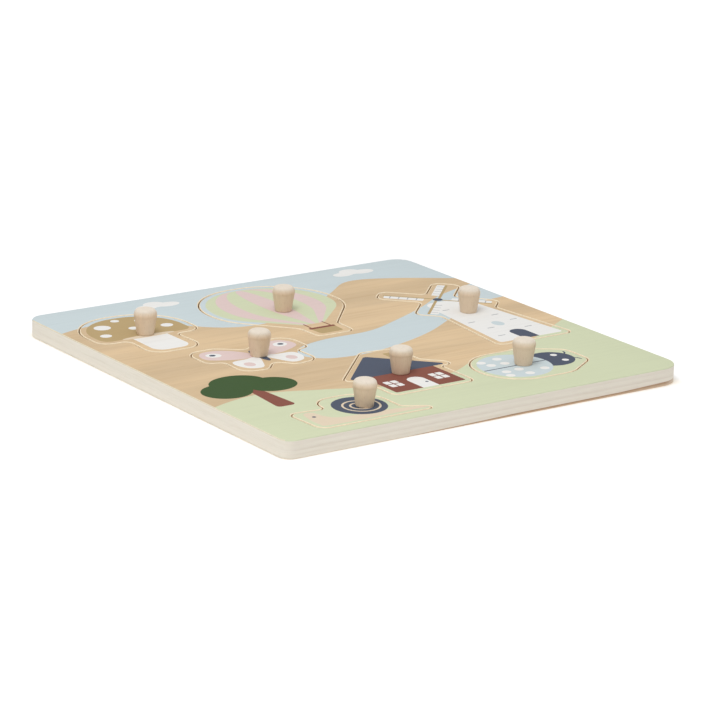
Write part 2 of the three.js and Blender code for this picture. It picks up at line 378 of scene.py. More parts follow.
def landscape():
    """The printed landscape: sky over bare wooden hills, a river, a meadow, a round tree and clouds."""
    # The printed areas run past the board's edge, which lies at 50
    horizon = [
        (-53, 34), (-40, 37), (-28, 31), (-18, 22), (-8, 20),
        (6, 24), (18, 33), (27, 39), (38, 36), (53, 27),
    ]
    shore = [
        (56, 24), (40, 20), (28, 13), (18, 8), (8, 4), (-4, 3.5), (-12, 1), (-15, -4),
        (-11, -8.5), (-2, -9.5), (9, -7), (19, -3), (29, 3), (41, 10), (56, 13),
    ]
    crest = [
        (-53, -26), (-45, -23), (-36, -22), (-24, -26), (-10, -31),
        (4, -30), (16, -24), (30, -21), (53, -8),
    ]
    regions = [
        Region("sky", [*through(horizon, closed=False), (53, 53), (-53, 53)]),
        Region("sky", through(shore)),
        Region("meadow", [*through(crest, closed=False), (53, -53), (-53, -53)]),
    ]
    for x, y in ((-21, 44), (32, 45)):
        regions += [
            oval("white", x - 2.6, y - 0.6, 2.6, 1.5),
            oval("white", x + 2.8, y - 0.5, 2.9, 1.6),
            oval("white", x, y + 0.6, 2.6, 2.1),
        ]
    regions.append(patch("rust", (-39, -31, 1), (-34.6, -31, 1), (-35.6, -18, 0.5), (-38, -18, 0.5)))
    crown = [(-42, -17, 5.5, 4.8), (-31.5, -17.4, 5.5, 4.6), (-37, -13.6, 6.4, 5.2)]
    return regions + [oval("leaf", *sizes) for sizes in crown]


def mushroom_motif():
    stem = [(-4.4, -12, 2.6), (4.4, -12, 2.6), (4.2, -0.6, 1), (-4.2, -0.6, 1)]
    cap = [(-11, -1.4, 2.2), (11, -1.4, 2.2), (11, 13.4, 10.2), (-11, 13.4, 10.2)]
    spots = [
        (-5.6, 8.4, 1.9), (4.7, 9.3, 1.6), (7.6, 3.6, 1.4), (-8, 2.8, 1.3), (-0.6, 11.6, 1), (0.2, 5, 1.2),
    ]
    flatness = 0.9
    regions = [patch("white", *stem), patch("khaki", *cap), oval("cream", 0, -1.3, 6.4, 0.9)]
    return regions + [oval("white", x, y, radius, radius * flatness) for x, y, radius in spots]


def balloon_motif():
    envelope = filleted([
        (2.8, -11.8, 1.2), (14.6, -0.6, 11), (14.6, 18.4, 13.7),
        (-14.6, 18.4, 13.7), (-14.6, -0.6, 11), (-2.8, -11.8, 1.2),
    ])
    gores = zip(("meadow", "pink", "meadow", "pink"), (1, 0.78, 0.5, 0.17))
    regions = [Region(ink, [(x * share, y) for x, y in envelope]) for ink, share in gores]
    regions += both_sides([line("rust", 0.36, (2.4, -11.4), (2.5, -15))])
    regions.append(patch("khaki", (-2.9, -19, 0.9), (2.9, -19, 0.9), (3.2, -14.6, 0.4), (-3.2, -14.6, 0.4)))
    basket_rim = [(-3.3, -15.4, 0.3), (3.3, -15.4, 0.3), (3.3, -14.4, 0.3), (-3.3, -14.4, 0.3)]
    return [*regions, patch("rust", *basket_rim)]


def butterfly_motif():
    upper_wing = through([
        (0.6, 0.2), (2, 4), (5.4, 7), (9.4, 7.4), (11.3, 5.2), (11, 2.4), (7.6, 0.4), (4, -0.6),
    ])
    lower_wing = through([(0.6, -0.4), (4, -1), (7.4, -1.4), (8, -4), (6.6, -6.8), (3.8, -7.4), (2, -4.6)])
    wing = [
        Region("white", lower_wing),
        Region("pink", upper_wing),
        oval("white", 8.3, 4.6, 1.7, 1.4, 20),
        oval("navy", 8.5, 4.7, 0.7, 0.6),
        oval("pink", 5.2, -4.4, 1.2, 1.4),
    ]
    return [*both_sides(wing), oval("navy", 0, -0.2, 0.95, 4)]


def cottage_motif():
    regions = [
        patch("khaki", (4.6, 3, 0.1), (7.6, 3, 0.1), (7.6, 13, 0.4), (4.6, 13, 0.4)),
        patch("rust", (-8.7, -10.7, 0.4), (8.7, -10.7, 0.4), (8.7, 1.5, 0.1), (-8.7, 1.5, 0.1)),
        patch("navy", (-12.4, 0.6, 0.6), (12.4, 0.6, 0.6), (0, 13.2, 1)),
        patch("white", (-2, -10.7, 0.05), (2, -10.7, 0.05), (2, -3.6, 1.9), (-2, -3.6, 1.9)),
        oval("navy", 1.1, -7.6, 0.35),
    ]
    window = [
        patch("white", (4.1, -7.4, 0.3), (7.3, -7.4, 0.3), (7.3, -3.6, 0.3), (4.1, -3.6, 0.3)),
        line("rust", 0.34, (5.7, -7.3), (5.7, -3.7)),
        line("rust", 0.34, (4.2, -5.5), (7.2, -5.5)),
    ]
    return regions + both_sides(window)


def snail_motif():
    body = through([
        (12, -6.7), (4, -6.9), (-12.6, -6.9), (-14.5, -5.2), (-14.4, -1.4), (-13.6, 1.5),
        (-11.6, 1.4), (-10.6, -1.8), (-8, -3.8), (0, -4.2), (6, -5),
    ])
    shell_x, shell_y, shell_radius = -0.8, 0.6, 5.7
    turns, inner, outer, steps = 2.1, 1.2, 4.5, 70
    angles = [tau * turns * step / steps for step in range(steps + 1)]
    reach = [inner + (outer - inner) * angle / angles[-1] for angle in angles]
    spiral = [(shell_x + r * cos(angle), shell_y + r * sin(angle)) for r, angle in zip(reach, angles)]
    return [
        Region("cream", body),
        oval("navy", shell_x, shell_y, shell_radius),
        Region("cream", stroke(spiral, 0.46)),
        oval("navy", -12.8, -1, 0.42),
    ]


def windmill_motif():
    hub = Vector((0, 11.3))
    tower = [(-8.5, -22.6, 0.8), (8.5, -22.6, 0.8), (5.2, 9.6, 2.6), (-5.2, 9.6, 2.6)]
    stones = [
        (-5, -18.4), (4.4, -15.6), (-3.4, -12.6), (5, -9.6),
        (-4.6, -7.2), (3.6, -4.8), (-3.6, 3.4), (3.4, 4.2),
    ]
    regions = [patch("white", *tower)]
    regions += [line("grey", 0.36, (x - 0.8, y), (x + 0.8, y)) for x, y in stones]
    regions.append(patch("navy", (-2, -22.6, 0.1), (2, -22.6, 0.1), (2, -16, 1.9), (-2, -16, 1.9)))
    regions.append(oval("sky", 0, -10.6, 1.3, 1.7))
    sail = [patch("white", (3, -0.4, 0.2), (12, -0.4, 0.5), (12, 1.9, 0.5), (3, 1.9, 0.2))]
    sail += [line("grey", 0.26, (lath, 0), (lath, 1.6)) for lath in (4.6, 6.6, 8.6, 10.6)]
    sail.append(line("khaki", 0.62, (0, -0.2), (12, -0.2)))
    for turn in (45, 135, 225, 315):
        lean = Matrix.Rotation(radians(turn), 2)
        for ink, outline in sail:
            regions.append(Region(ink, [tuple(hub + lean @ Vector(spot)) for spot in outline]))
    return [*regions, oval("navy", *hub, 1.1)]


def beetle_motif():
    regions = [
        oval("navy", 7.4, 0, 5.2, 4.8),
        oval("sky", -2.2, 0, 8, 7.9),
        line("navy", 0.36, (5.6, 0), (-10, 0)),
    ]
    dots = [(-6.4, 2.6), (-2.6, 5.6), (2.2, 4.4), (-3, 2.4), (-7.2, 5)]
    half = [oval("white", x, y, 1.05, 0.95) for x, y in dots]
    half.append(oval("white", 9.6, 2, 0.75))
    half.append(Region("navy", stroke(through([(11.6, 1.4), (12.6, 2), (13, 3)], closed=False), 0.4)))
    return regions + half + [Region(ink, [(x, -y) for x, y in outline]) for ink, outline in half]


MOTIFS = {
    "mushroom": mushroom_motif,
    "balloon": balloon_motif,
    "butterfly": butterfly_motif,
    "cottage": cottage_motif,
    "snail": snail_motif,
    "windmill": windmill_motif,
    "beetle": beetle_motif,
}


def on_board(regions, origin=(0, 0)):
    """Regions in metres on the board, drawn about an origin."""
    placed = []
    for ink, outline in regions:
        spots = [(x * HUNDREDTH + origin[0], y * HUNDREDTH + origin[1]) for x, y in outline]
        placed.append(Region(ink, anticlockwise(spots)))
    return placed


# Meshes


class Draft:
    """Points and faces of a mesh, each face with the name of its finish."""

    def __init__(self):
        self.points = []
        self.faces = []
        self.finishes = []
        self.smooth = []
        self.beside = {}

    def face(self, corners, finish, smooth):
        self.faces.append(corners)
        self.finishes.append(finish)
        self.smooth.append(smooth)

    def ring(self, outline, height):
        """Adds the points of an outline at one height, and gives their numbers."""
        first = len(self.points)
        self.points += [(x, y, height) for x, y in outline]
        return list(range(first, len(self.points)))

    def flat(self, ring):
        return [self.points[number][:2] for number in ring]

    def strip(self, upper, lower, finish):
        """Faces between two rings that run the same way, seen from the right of that way.

        Their finish is one for all, or a list with one for each.
        """
        finishes = finish if isinstance(finish, list) else [finish] * len(upper)
        ends = zip(upper, [*upper[1:], upper[0]], lower, [*lower[1:], lower[0]], finishes)
        for upper_here, upper_next, lower_here, lower_next, one in ends:
            self.face((upper_here, lower_here, lower_next, upper_next), one, True)

    def hem(self, upper, corners, lower, finish):
        """Faces like a strip's, where the upper loop has more points along the edges between its corners."""
        starts = [upper.index(corner) for corner in corners]
        for start, end, lower_here, lower_next in zip(
            starts, [*starts[1:], len(upper)], lower, [*lower[1:], lower[0]],
        ):
            run = [*upper, upper[0]][start:end + 1]
            self.face((run[0], lower_here, lower_next, *run[:0:-1]), finish, True)

    def point(self, ring, spot, finish, faces_up):
        """Faces from an anticlockwise ring to one point."""
        self.points.append(spot)
        tip = len(self.points) - 1
        for here, onward in zip(ring, [*ring[1:], ring[0]]):
            self.face((here, onward, tip) if faces_up else (onward, here, tip), finish, True)

    def cap(self, rings, finish, faces_up=True, regions=()):
        """A flat face inside the first ring and outside the rest, painted by regions, later over earlier.

        Gives the loops round the face, one for each ring, with the face on the left of their way.
        """
        height = self.points[rings[0][0]][2]
        rings = [ring if signed_area(self.flat(ring)) > 0 else ring[::-1] for ring in rings]
        known = [number for ring in rings for number in ring]
        outlines = [self.flat(ring) for ring in rings] + [region.outline for region in regions]
        spots = [Vector(spot) for outline in outlines for spot in outline]
        ends = [0]
        for outline in outlines:
            ends.append(ends[-1] + len(outline))
        loops = [list(range(start, end)) for start, end in zip(ends, ends[1:])]
        places, _, triangles, sources, _, owners = delaunay_2d_cdt(spots, [], loops, INSIDE, WELD, True)
        numbers = {}

        def number_of(place):
            if place not in numbers:
                rim = [known[source] for source in sources[place] if source < len(known)]
                if not rim:
                    self.points.append((*places[place], height))
                numbers[place] = rim[0] if rim else len(self.points) - 1
            return numbers[place]

        onward = {}
        for triangle, owner in zip(triangles, owners):
            if 0 not in owner or any(0 < number < len(rings) for number in owner):
                continue
            painted = max(owner)
            ink = regions[painted - len(rings)].ink if painted >= len(rings) else finish
            corners = [number_of(place) for place in triangle]
            self.face(corners if faces_up else corners[::-1], ink, False)
            for here, there in zip(corners, [*corners[1:], corners[0]]):
                self.beside[here, there] = ink
                if onward.get(there) and here in onward[there]:
                    onward[there].remove(here)
                else:
                    onward.setdefault(here, []).append(there)
        return [self.loop_from(ring[0], onward) for ring in rings]

    @staticmethod
    def loop_from(start, onward):
        loop = [start]
        while onward[loop[-1]][0] != start:
            loop.append(onward[loop[-1]][0])
            if len(loop) > len(onward):
                raise RuntimeError("the edge of a cap doesn't close")
        return loop

    def lathe(self, centre, profile, sides, finish):
        """A turned solid. Its profile (radius, height) runs from the axis below to the axis above."""
        (_, bottom), *middle, (_, top) = profile
        rings = [self.ring(circle(centre, radius, sides), height) for radius, height in middle]
        self.point(rings[0], (*centre, bottom), finish, False)
        for lower, upper in zip(rings, rings[1:]):
            self.strip(upper, lower, finish)
        self.point(rings[-1], (*centre, top), finish, True)

    def build(self, name):
        """The mesh as an object in the scene."""
        mesh = bpy.data.meshes.new(name)
        mesh.from_pydata(self.points, [], self.faces)
        names = sorted(set(self.finishes))
        for finish in names:
            mesh.materials.append(finish_material(finish))
        mesh.polygons.foreach_set("material_index", [names.index(finish) for finish in self.finishes])
        mesh.polygons.foreach_set("use_smooth", self.smooth)
        mesh.set_sharp_from_angle(angle=CREASE)
        mesh.update()
        piece = bpy.data.objects.new(name, mesh)
        bpy.context.scene.collection.objects.link(piece)
        return piece


def rounded_rim(radius, steps):
    """Stations (outset, drop) down a quarter round, from its upper edge."""
    angles = [pi / 2 * step / steps for step in range(1, steps + 1)]
    return [(radius * sin(angle), radius * (1 - cos(angle))) for angle in angles]


def walls(draft, loop, rim, stations, finish):
    """Walls down from a loop on a rim through stations (outset, height), and the ring at their foot."""
    on_rim = set(rim)
    corners = [number for number in loop if number in on_rim]
    outline = draft.flat(corners)
    rings = [draft.ring(offset(outline, outset), height) for outset, height in stations]
    draft.hem(loop, corners, rings[0], finish)
    for upper, lower in zip(rings, rings[1:]):
        draft.strip(upper, lower, finish)
    return rings[-1]


def edge_stations(top, bottom, upper_round, lower_round, steps):
    """Stations down an upright wall with rounded edges. The wall's outset is upper_round."""
    upper = [(outset, top - drop) for outset, drop in rounded_rim(upper_round, steps)]
    foot = upper_round - lower_round
    lower = [(foot + outset, bottom + drop) for outset, drop in rounded_rim(lower_round, steps)]
    return [*upper, *lower[::-1], (foot, bottom)]


def dress(piece, node, body):
    """A dressed piece takes the place of its CAD node and rides on its body."""
    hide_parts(node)
    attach(piece, body)


# Finishes

# Numbers of the mix node's colour sockets, since its other sockets share their names
MIX_FACTOR, MIX_FIRST, MIX_SECOND, MIX_RESULT = 0, 6, 7, 2
WHITE = (1, 1, 1)

# Scales of the wood's figure, per metre along each axis
STREAKS = (9, 330, 330)
PORES = (55, 1500, 1500)
BANDS = (3.5, 26, 26)
PATCHES = (5, 30, 30)
PLY_WAVES = (40, 40, 200)
PLY_FIBRES = (45, 45, 1300)
SAW_MARKS = (300, 300, 900)
PEG_FIBRES = (420, 420, 40)
PEG_FLECKS = (1600, 1600, 260)
LATHE_RINGS = (60, 60, 2600)
TOOL_MARKS = (900, 900, 4000)

# Plies of the front edge, by their height as a share of the tray's thickness
FRONT_PLIES = (
    (0.12, "light"), (0.2, "dark"), (0.25, "dark"), (0.31, "light"), (0.37, "light"), (0.44, "dark"),
    (0.47, "glue"), (0.5, "dark"), (0.54, "dark"), (0.6, "light"), (0.68, "light"), (0.77, "dark"),
)
# Lightness of the side edges, by height, up to the bare rim of the face: partly the plies' own tone and
# partly painted light, paler low down
SIDE_PLIES_AND_LIGHT = (
    (0.06, 1), (0.16, 1.05), (0.28, 1.045), (0.36, 1.015),
    (0.47, 1.015), (0.48, 0.97), (0.49, 1.015), (0.94, 1.015),
)
SIDE_RIM = 0.97
# How far the plies waver up and down, as a share of the thickness
PLY_WAVER = 0.016
# Height of the painted brown shadow on the front edge's foot, at shares of the edge's length from the left
PAINTED_SHADOW_REACH = (
    (0.28, 0.004), (0.34, 0.05), (0.45, 0.08), (0.55, 0.13), (0.83, 0.155), (0.9, 0.21), (1, 0.29),
)


def add(tree, kind, inputs=None, **settings):
    """Adds a shader node. An input is a value, or a socket to link."""
    node = tree.nodes.new(kind)
    for name, value in settings.items():
        setattr(node, name, value)
    for name, value in (inputs or {}).items():
        if isinstance(value, bpy.types.NodeSocket):
            tree.links.new(value, node.inputs[name])
        else:
            node.inputs[name].default_value = value
    return node


def surface(name):
    """A new material with a Principled shader, and its tree."""
    material = bpy.data.materials.new(name)
    material.use_nodes = True
    tree = material.node_tree
    return material, tree, tree.nodes["Principled BSDF"]


def calculate(tree, operation, *values):
    return add(tree, "ShaderNodeMath", dict(enumerate(values)), operation=operation).outputs["Value"]


def axes(tree, vector):
    """The X, Y and Z of a vector."""
    return add(tree, "ShaderNodeSeparateXYZ", {"Vector": vector}).outputs


def own_place(tree):
    """Where a point lies in its object's own axes."""
    return add(tree, "ShaderNodeTexCoord").outputs["Object"]


def facing(tree):
    """The way that a surface faces, along X, Y and Z."""
    return axes(tree, add(tree, "ShaderNodeNewGeometry").outputs["Normal"])


def span(tree, value, low, high, start=0, end=1):
    """A value from start to end, taken to low to high and held there."""
    ends = {"From Min": start, "From Max": end, "To Min": low, "To Max": high}
    return add(tree, "ShaderNodeMapRange", {"Value": value, **ends}).outputs["Result"]


def ramp(tree, factor, stops):
    """A colour ramp with stops (place, linear colour)."""
    node = add(tree, "ShaderNodeValToRGB", {"Fac": factor})
    elements = node.color_ramp.elements
    while len(elements) < len(stops):
        elements.new(1)
    for element, (place, colour) in zip(elements, stops):
        element.position = place
        element.color = (*colour, 1)
    return node.outputs["Color"]


def grain(tree, scale, detail=4, rough=0.6):
    """Noise drawn out along the wood's fibres, with a scale per metre along each axis."""
    drawn = add(tree, "ShaderNodeMapping", {"Vector": own_place(tree), "Scale": scale}).outputs["Vector"]
    texture = {"Vector": drawn, "Scale": 1, "Detail": detail, "Roughness": rough}
    return add(tree, "ShaderNodeTexNoise", texture).outputs["Fac"]


def shade(colour, factor):
    return tuple(min(1, channel * factor) for channel in colour)


def mix(tree, first, second, factor, blend="MIX"):
    inputs = {MIX_FACTOR: factor, MIX_FIRST: first, MIX_SECOND: second}
    return add(tree, "ShaderNodeMix", inputs, data_type="RGBA", blend_type=blend).outputs[MIX_RESULT]


def multiply(tree, first, second, factor=1):
    return mix(tree, first, second, factor, blend="MULTIPLY")


def bump(tree, shader, height, depth):
    """Relief of a depth in metres from a height of 0 to 1."""
    node = add(tree, "ShaderNodeBump", {"Height": height, "Distance": depth, "Strength": 1})
    tree.links.new(node.outputs["Normal"], shader.inputs["Normal"])


def coat(tree, shader, colour, roughness, specular):
    """Links a shader's colour and roughness, and sets how strongly it mirrors."""
    tree.links.new(colour, shader.inputs["Base Color"])
    tree.links.new(roughness, shader.inputs["Roughness"])
    shader.inputs["Specular IOR Level"].default_value = specular


def ink_finish(name, colour):
    """Matt ink on veneer: the grain shows through as faint streaks and relief."""
    material, tree, shader = surface(name)
    streaks = grain(tree, STREAKS)
    tone = ramp(tree, streaks, [(0.3, shade(colour, 0.975)), (0.5, colour), (0.75, shade(colour, 1.015))])
    coat(tree, shader, tone, span(tree, streaks, 0.6, 0.72), specular=0.04)
    bump(tree, shader, grain(tree, PORES, detail=2), depth=0.00002)
    return material


def veneer_finish(name, colour):
    """Bare birch veneer: broad bands, soft streaks of uneven strength and short pores along the board."""
    material, tree, shader = surface(name)
    bands = grain(tree, BANDS, detail=3)
    base = ramp(tree, bands, [(0.36, shade(colour, 0.91)), (0.5, colour), (0.64, shade(colour, 1.12))])
    streaks = grain(tree, STREAKS, detail=6, rough=0.65)
    lines = ramp(tree, streaks, [(0.34, (0.88, 0.83, 0.76)), (0.52, WHITE), (1, WHITE)])
    patches = span(tree, grain(tree, PATCHES, detail=2), 0, 1)
    pores = grain(tree, PORES, detail=2)
    flecks = ramp(tree, pores, [(0.28, (0.82, 0.76, 0.68)), (0.42, WHITE), (1, WHITE)])
    figured = multiply(tree, multiply(tree, base, lines, patches), flecks, factor=0.45)
    coat(tree, shader, figured, span(tree, streaks, 0.55, 0.7), specular=0.3)
    bump(tree, shader, pores, depth=0.00003)
    return material


def ply_edge_finish(name, light):
    """Sanded plywood edge: light and dark plies, a glue line at the seam, side edges lighter partly by
    painted light, and a painted shadow on the front's foot.
    """
    timber = bpy.context.scene.knob_puzzle_timber
    tones = {"light": light, "dark": tuple(timber.ply_dark), "glue": tuple(timber.glue)}
    material, tree, shader = surface(name)
    spot = axes(tree, own_place(tree))
    rise = span(tree, spot["Z"], 0, 1, end=TRAY_TOP)
    waves = grain(tree, PLY_WAVES, detail=2)
    wavering = calculate(tree, "MULTIPLY_ADD", waves, PLY_WAVER, rise)
    level = calculate(tree, "SUBTRACT", wavering, PLY_WAVER / 2)
    front_plies = ramp(tree, level, [(height, tones[ply]) for height, ply in FRONT_PLIES])
    # The side edges take a lighter ramp than the front: partly their plies' tone, partly painted light
    side_stops = [(height, shade(light, factor)) for height, factor in SIDE_PLIES_AND_LIGHT]
    side_plies_and_light = ramp(tree, level, [*side_stops, (SIDE_RIM, tuple(timber.tray_rim))])
    along = span(tree, spot["X"], 0, 1, BOARD_LOW.x, BOARD_HIGH.x)
    # Painted shadow: a brown band on the front edge's foot, taller toward the right, darkest near its top
    reach = ramp(tree, along, [(share, (height, height, height)) for share, height in PAINTED_SHADOW_REACH])
    up_painted_shadow = span(tree, rise, 0, 1, end=reach)
    top = tuple(timber.painted_shadow_top)
    painted_shadow = ramp(tree, up_painted_shadow, [(0, tuple(timber.painted_shadow_foot)), (0.68, top), (0.93, top), (1, WHITE)])
    in_front = calculate(tree, "LESS_THAN", spot["Y"], 0)
    sideways = calculate(tree, "ABSOLUTE", facing(tree)["X"])
    plies = mix(tree, multiply(tree, front_plies, painted_shadow, in_front), side_plies_and_light, sideways)
    fibres = grain(tree, PLY_FIBRES, detail=5, rough=0.7)
    flecks = ramp(tree, fibres, [(0.3, (0.88, 0.85, 0.8)), (0.5, WHITE), (0.8, WHITE)])
    tree.links.new(multiply(tree, plies, flecks, factor=0.5), shader.inputs["Base Color"])
    shader.inputs["Roughness"].default_value = 0.72
    bump(tree, shader, fibres, depth=0.00004)
    return material


def raw_wood_finish(name, colour):
    """Bare cut wood with short uneven marks."""
    material, tree, shader = surface(name)
    marks = grain(tree, SAW_MARKS)
    tone = ramp(tree, marks, [(0.3, shade(colour, 0.86)), (0.6, colour)])
    coat(tree, shader, tone, span(tree, marks, 0.7, 0.85), specular=0.1)
    bump(tree, shader, marks, depth=0.00005)
    return material


def turned_wood_finish(name, colour):
    """Pale turned hardwood: end grain on top, flecks and the lathe's faint rings; the sides are tinted darker
    and warmer, partly side grain and partly painted shade and bounce light.
    """
    material, tree, shader = surface(name)
    fibres = grain(tree, PEG_FIBRES, detail=5, rough=0.65)
    base = ramp(tree, fibres, [(0.3, shade(colour, 0.94)), (0.52, colour), (0.75, shade(colour, 1.02))])
    specks = grain(tree, PEG_FLECKS, detail=2)
    flecks = ramp(tree, specks, [(0.3, (0.86, 0.8, 0.72)), (0.42, WHITE), (1, WHITE)])
    side_grain_and_shade = tuple(bpy.context.scene.knob_puzzle_timber.side_grain_and_shade)
    # Painted shade and bounce light with the side grain's tone: the pegs' sides are tinted darker and warmer
    # than their tops
    tint = ramp(tree, facing(tree)["Z"], [(0.05, side_grain_and_shade), (0.6, WHITE)])
    tone = multiply(tree, multiply(tree, base, flecks, factor=0.5), tint)
    coat(tree, shader, tone, span(tree, fibres, 0.48, 0.62), specular=0.3)
    bump(tree, shader, grain(tree, LATHE_RINGS, detail=2), depth=0.00003)
    return material


def zinc_finish(name, colour):
    """Bright zinc plate with fine tool marks."""
    material, tree, shader = surface(name)
    marks = grain(tree, TOOL_MARKS, detail=3)
    tone = ramp(tree, marks, [(0.3, shade(colour, 0.85)), (0.7, colour)])
    coat(tree, shader, tone, span(tree, marks, 0.28, 0.45), specular=0.5)
    shader.inputs["Metallic"].default_value = 1
    bump(tree, shader, marks, depth=0.00001)
    return material


# Finishes other than ink, each with its main colour
BARE_FINISHES = {
    "face_veneer": (veneer_finish, "veneer"),
    "under_veneer": (veneer_finish, "under"),
    "ply_edge": (ply_edge_finish, "ply_light"),
    "eased_rim": (raw_wood_finish, "rim"),
    "tray_rim": (raw_wood_finish, "tray_rim"),
    "sawn_wall": (raw_wood_finish, "sawn"),
    "turned_wood": (turned_wood_finish, "peg"),
    "zinc": (zinc_finish, "zinc"),
}


def finish_material(finish):
    """The material of a finish, made when it is first asked for."""
    scene = bpy.context.scene
    if finish in BARE_FINISHES:
        name, (make, colour), colours = finish, BARE_FINISHES[finish], scene.knob_puzzle_timber
    else:
        name, make, colour, colours = f"ink_{finish}", ink_finish, finish, scene.knob_puzzle_inks
    return bpy.data.materials.get(name) or make(name, tuple(getattr(colours, colour)))


# Pieces


def edge_ease(node):
    """How far a CAD plate's rim is eased: the drop from its face to where its walls begin."""
    heights = sorted({round(vertex.co.z, HEIGHT_DIGITS) for vertex in frame["nodes"][node].data.vertices})
    return heights[-1] - heights[-2]


def screw_place(piece):
    """Middle of a piece's screw, its head's radius and the heights of its foot and point."""
    low, high = (Vector(corner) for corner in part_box(f"{piece}_screw"))
    return ((low + high) / 2).xy, (high.x - low.x) / 2, low.z, high.z


class KNOBPUZZLE_OT_backing_board(bpy.types.Operator):
    """Plain plywood board that closes the recesses from below"""

    bl_idname = "knobpuzzle.backing_board"
    bl_label = "Backing Board"

    def execute(self, context):
        sizes = context.scene.knob_puzzle_sizes
        low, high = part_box("backing_board")
        outer = wall_loops("face_panel")[0]
        ease = edge_ease("face_panel")
        draft = Draft()
        rim = draft.ring(offset(outer, -sizes.seam_round), high[2])
        loop = draft.cap([rim], "under_veneer")[0]
        stations = edge_stations(high[2], low[2], sizes.seam_round, ease, sizes.round_steps)
        foot = walls(draft, loop, rim, stations, "ply_edge")
        draft.cap([foot], "under_veneer", faces_up=False)
        dress(draft.build("ply_backing"), "backing_board", TRAY_BODY)
        return {"FINISHED"}


class KNOBPUZZLE_OT_face_panel(bpy.types.Operator):
    """Printed plywood panel with a sawn recess for each piece"""

    bl_idname = "knobpuzzle.face_panel"
    bl_label = "Face Panel"

    def execute(self, context):
        sizes = context.scene.knob_puzzle_sizes
        low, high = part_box("face_panel")
        ease = edge_ease("face_panel")
        outer, *recesses = wall_loops("face_panel")
        if len(recesses) != len(PIECES):
            raise RuntimeError(f"the face panel has {len(recesses)} recesses for {len(PIECES)} pieces")
        draft = Draft()
        rims = [draft.ring(offset(outer, -ease), high[2])]
        rims += [draft.ring(offset(recess, ease), high[2]) for recess in recesses]
        outer_loop, *recess_loops = draft.cap(rims, "face_veneer", regions=on_board(landscape()))
        outline = draft.flat(outer_loop)
        border = zip(outer_loop, [*outer_loop[1:], outer_loop[0]])
        # The print stops short of the rounding along the left edge
        left = BOARD_LOW.x + 2 * ease
        inks = [draft.beside[edge] if x > left else "tray_rim" for edge, (x, _) in zip(border, outline)]
        stations = edge_stations(high[2], low[2], ease, sizes.seam_round, sizes.round_steps)
        rings = [outer_loop] + [draft.ring(offset(outline, outset), height) for outset, height in stations]
        for step, (upper, lower) in enumerate(zip(rings, rings[1:])):
            draft.strip(upper, lower, inks if step < sizes.round_steps else "ply_edge")
        feet = [rings[-1]]
        mouth = [(outset, high[2] - drop) for outset, drop in rounded_rim(ease, sizes.round_steps)]
        for loop, rim in zip(recess_loops, rims[1:]):
            wall = walls(draft, loop, rim, mouth, "eased_rim")
            feet.append(walls(draft, wall, wall, [(0, low[2])], "sawn_wall"))
        draft.cap(feet, "under_veneer", faces_up=False)
        dress(draft.build("printed_panel"), "face_panel", TRAY_BODY)
        return {"FINISHED"}


class KNOBPUZZLE_OT_picture_pieces(bpy.types.Operator):
    """Printed pieces that lie in the recesses, each with a countersunk hole under its peg"""

    bl_idname = "knobpuzzle.picture_pieces"
    bl_label = "Picture Pieces"

    def execute(self, context):
        sizes = context.scene.knob_puzzle_sizes
        for piece in PIECES:
            node = f"{piece}_piece"
            low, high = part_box(node)
            ease = edge_ease(node)
            middle, head, foot, _ = screw_place(piece)
            bore = sizes.shank / 2 + sizes.clearance
            mouth = head + sizes.clearance
            outline = wall_loops(node)[0]
            regions = on_board(landscape()) + on_board(MOTIFS[piece](), middle)
            draft = Draft()
            rim = draft.ring(offset(outline, -ease), high[2])
            hole = draft.ring(circle(middle, bore, sizes.screw_sides), high[2])
            rim_loop, hole_loop = draft.cap([rim, hole], "face_veneer", regions=regions)
            upper = [(outset, high[2] - drop) for outset, drop in rounded_rim(ease, sizes.round_steps)]
            wall = walls(draft, rim_loop, rim, upper, "eased_rim")
            lower = [(outset - ease, low[2] + drop) for outset, drop in rounded_rim(ease, sizes.round_steps)]
            feet = [walls(draft, wall, wall, [*lower[::-1], (-ease, low[2])], "sawn_wall")]
            cone_foot = foot + sizes.head_rim
            sink = [(0, cone_foot + mouth - bore), (bore - mouth, cone_foot), (bore - mouth, low[2])]
            feet.append(walls(draft, hole_loop, hole, sink, "sawn_wall"))
            draft.cap(feet, "under_veneer", faces_up=False)
            dress(draft.build(f"{piece}_plate"), node, piece)
        return {"FINISHED"}


class KNOBPUZZLE_OT_pegs(bpy.types.Operator):
    """Turned pegs that lift the pieces"""

    bl_idname = "knobpuzzle.pegs"
    bl_label = "Pegs"

    swell_steps = 14
    dome_steps = 26

    def profile(self, sizes, low, high):
        """A peg's outline from the top of its pilot hole, round its foot, up its shank and over its head."""
        foot, neck = sizes.peg_foot / 2, sizes.peg_neck / 2
        shoulder = (high.x - low.x) / 2
        pilot = sizes.shank / 2 + sizes.clearance
        neck_height = low.z + sizes.neck_height
        shoulder_height = high.z - sizes.peg_dome
        ease = edge_ease("face_panel")
        pilot_top = high.z - sizes.crown_wall
        outline = [(0, pilot_top), (pilot, pilot_top), (pilot, low.z), (foot - ease, low.z)]
        outline += [(foot - ease + out, low.z + up) for out, up in rounded_rim(ease, sizes.round_steps)]
        for step in range(self.swell_steps):
            share = step / self.swell_steps
            swell = (1 - cos(pi * share)) / 2
            height = neck_height + (shoulder_height - neck_height) * share
            outline.append((neck + (shoulder - neck) * swell, height))
        for step in range(self.dome_steps):
            angle = pi / 2 * step / self.dome_steps
            height = shoulder_height + sizes.peg_dome * sin(angle)
            outline.append((shoulder * cos(angle) ** sizes.dome_power, height))
        return [*outline, (0, high.z)]

    def execute(self, context):
        sizes = context.scene.knob_puzzle_sizes
        for piece in PIECES:
            low, high = (Vector(corner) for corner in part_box(f"{piece}_knob"))
            draft = Draft()
            draft.lathe(((low + high) / 2).xy, self.profile(sizes, low, high), sizes.peg_sides, "turned_wood")
            dress(draft.build(f"{piece}_peg"), f"{piece}_knob", piece)
        return {"FINISHED"}


